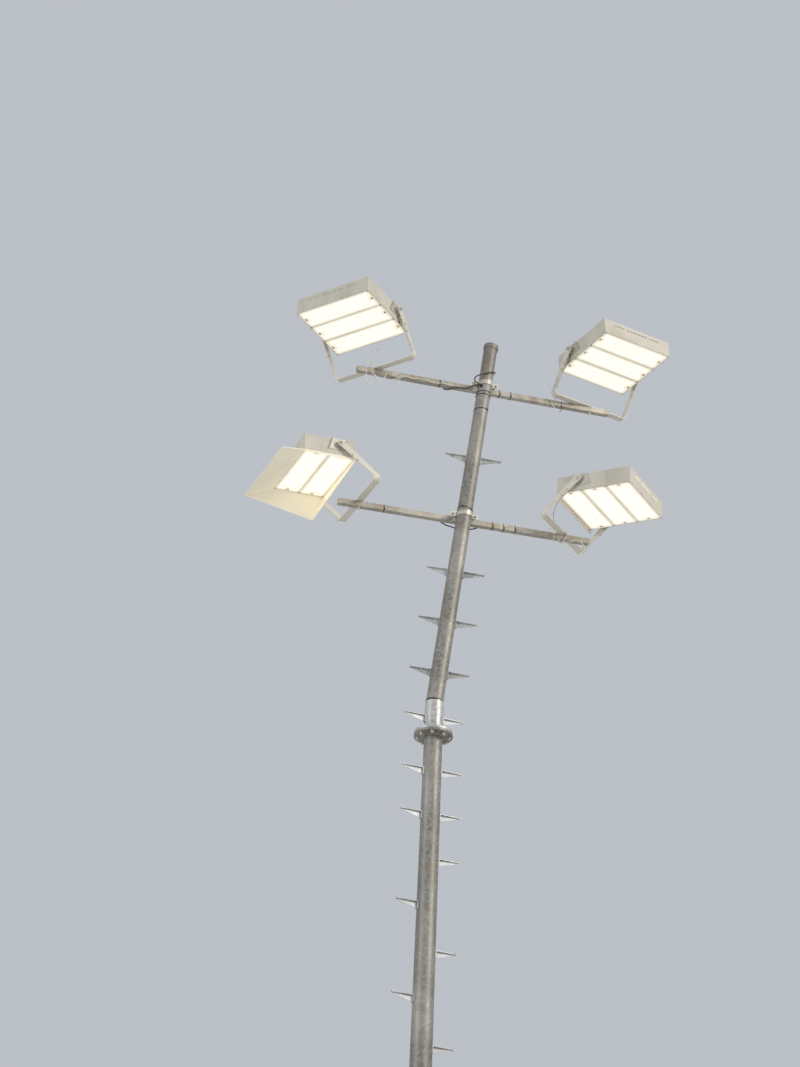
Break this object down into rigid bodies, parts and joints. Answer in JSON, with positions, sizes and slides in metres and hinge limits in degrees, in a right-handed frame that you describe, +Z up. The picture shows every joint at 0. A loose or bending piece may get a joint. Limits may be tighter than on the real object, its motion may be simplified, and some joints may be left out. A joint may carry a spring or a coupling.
{
  "type": "tubular floodlight mast",
  "caption": "Climbable tapered round steel mast with step irons, a flanged joint, square-tube cross arms and finned LED floodlights on swivelling yokes.",
  "frame": {"origin": "centre of the base plate, on its underside", "axes": "+Z up the lower mast, +X along the cross arms, -Y towards the side the lamps lean out to"},
  "size_m": [2.9314, 1.0051, 12.1995],
  "materials": {
    "galvanised_mast": "weathered hot-dip galvanised steel",
    "bright_zinc": "newer galvanised steel with a light spangle",
    "galvanised_arms": "galvanised square tube",
    "zinc_bolts": "zinc-plated fasteners",
    "yoke_steel": "light grey powder coat on flat bar",
    "lamp_housing": "light grey powder coat on aluminium sheet",
    "heat_sink": "extruded aluminium fins",
    "led_panel": "clear lens plate over lit LEDs",
    "black_cable": "black rubber sheath",
    "pale_cable": "pale plastic sheath"
  },
  "bodies": {
    "mast": {"base_plate": "galvanised_mast", "base_gussets": "galvanised_mast", "lower_mast": "galvanised_mast", "service_door": "bright_zinc", "lower_flange": "galvanised_mast", "upper_flange": "bright_zinc", "flange_bolts": "zinc_bolts", "socket_sleeve": "bright_zinc", "head_tube": "galvanised_mast", "head_cap": "galvanised_mast", "upper_arm": "galvanised_arms", "lower_arm": "galvanised_arms", "upper_arm_clamp": "zinc_bolts", "lower_arm_clamp": "zinc_bolts", "swivel_bolts": "zinc_bolts", "upper_cables": "black_cable", "lower_cables": "black_cable", "lower_steps_right": "bright_zinc", "lower_steps_left": "bright_zinc", "head_steps_right": "bright_zinc", "head_steps_left": "bright_zinc"},
    "upper_left_bracket": {"upper_left_yoke": "yoke_steel", "upper_left_lead": "pale_cable"},
    "upper_left_lamp": {"upper_left_housing": "lamp_housing", "upper_left_heat_sinks": "heat_sink", "upper_left_led_panels": "led_panel", "upper_left_pivots": "zinc_bolts"},
    "upper_right_bracket": {"upper_right_yoke": "yoke_steel", "upper_right_lead": "pale_cable"},
    "upper_right_lamp": {"upper_right_housing": "lamp_housing", "upper_right_heat_sinks": "heat_sink", "upper_right_led_panels": "led_panel", "upper_right_pivots": "zinc_bolts"},
    "lower_left_bracket": {"lower_left_yoke": "yoke_steel"},
    "lower_left_lamp": {"lower_left_housing": "lamp_housing", "lower_left_heat_sinks": "heat_sink", "lower_left_led_panels": "led_panel", "lower_left_pivots": "zinc_bolts", "lower_left_hood": "lamp_housing"},
    "lower_right_bracket": {"lower_right_yoke": "yoke_steel", "lower_right_lead": "pale_cable"},
    "lower_right_lamp": {"lower_right_housing": "lamp_housing", "lower_right_heat_sinks": "heat_sink", "lower_right_led_panels": "led_panel", "lower_right_pivots": "zinc_bolts"}
  },
  "joints": [
    {"name": "upper_left_swivel", "type": "hinge", "parent": "mast", "child": "upper_left_bracket", "pos_m": [-0.5204, 0.08245, 11.73985], "axis": [-0.0471, 0, 0.9989], "range_deg": [-60, 60]},
    {"name": "upper_left_tilt", "type": "hinge", "parent": "upper_left_bracket", "child": "upper_left_lamp", "pos_m": [-0.68572, -0.0498, 12.0273], "axis": [-0.6566, 0.7536, -0.031], "range_deg": [-35, 45]},
    {"name": "upper_right_swivel", "type": "hinge", "parent": "mast", "child": "upper_right_bracket", "pos_m": [1.13876, 0.08245, 11.81809], "axis": [-0.0471, 0, 0.9989], "range_deg": [-60, 60]},
    {"name": "upper_right_tilt", "type": "hinge", "parent": "upper_right_bracket", "child": "upper_right_lamp", "pos_m": [1.17823, -0.11151, 12.1152], "axis": [-0.963, -0.2656, -0.0454], "range_deg": [-35, 45]},
    {"name": "lower_left_swivel", "type": "hinge", "parent": "mast", "child": "lower_left_bracket", "pos_m": [-0.58666, 0.08245, 10.61757], "axis": [-0.0471, 0, 0.9989], "range_deg": [-60, 60]},
    {"name": "lower_left_tilt", "type": "hinge", "parent": "lower_left_bracket", "child": "lower_left_lamp", "pos_m": [-0.86073, 0.05944, 10.84518], "axis": [-0.0871, 0.9962, -0.0041], "range_deg": [-35, 45]},
    {"name": "lower_right_swivel", "type": "hinge", "parent": "mast", "child": "lower_right_bracket", "pos_m": [0.94863, 0.08245, 10.68998], "axis": [-0.0471, 0, 0.9989], "range_deg": [-60, 60]},
    {"name": "lower_right_tilt", "type": "hinge", "parent": "lower_right_bracket", "child": "lower_right_lamp", "pos_m": [1.11987, -0.10813, 10.93858], "axis": [-0.721, -0.6921, -0.034], "range_deg": [-35, 45]}
  ]
}
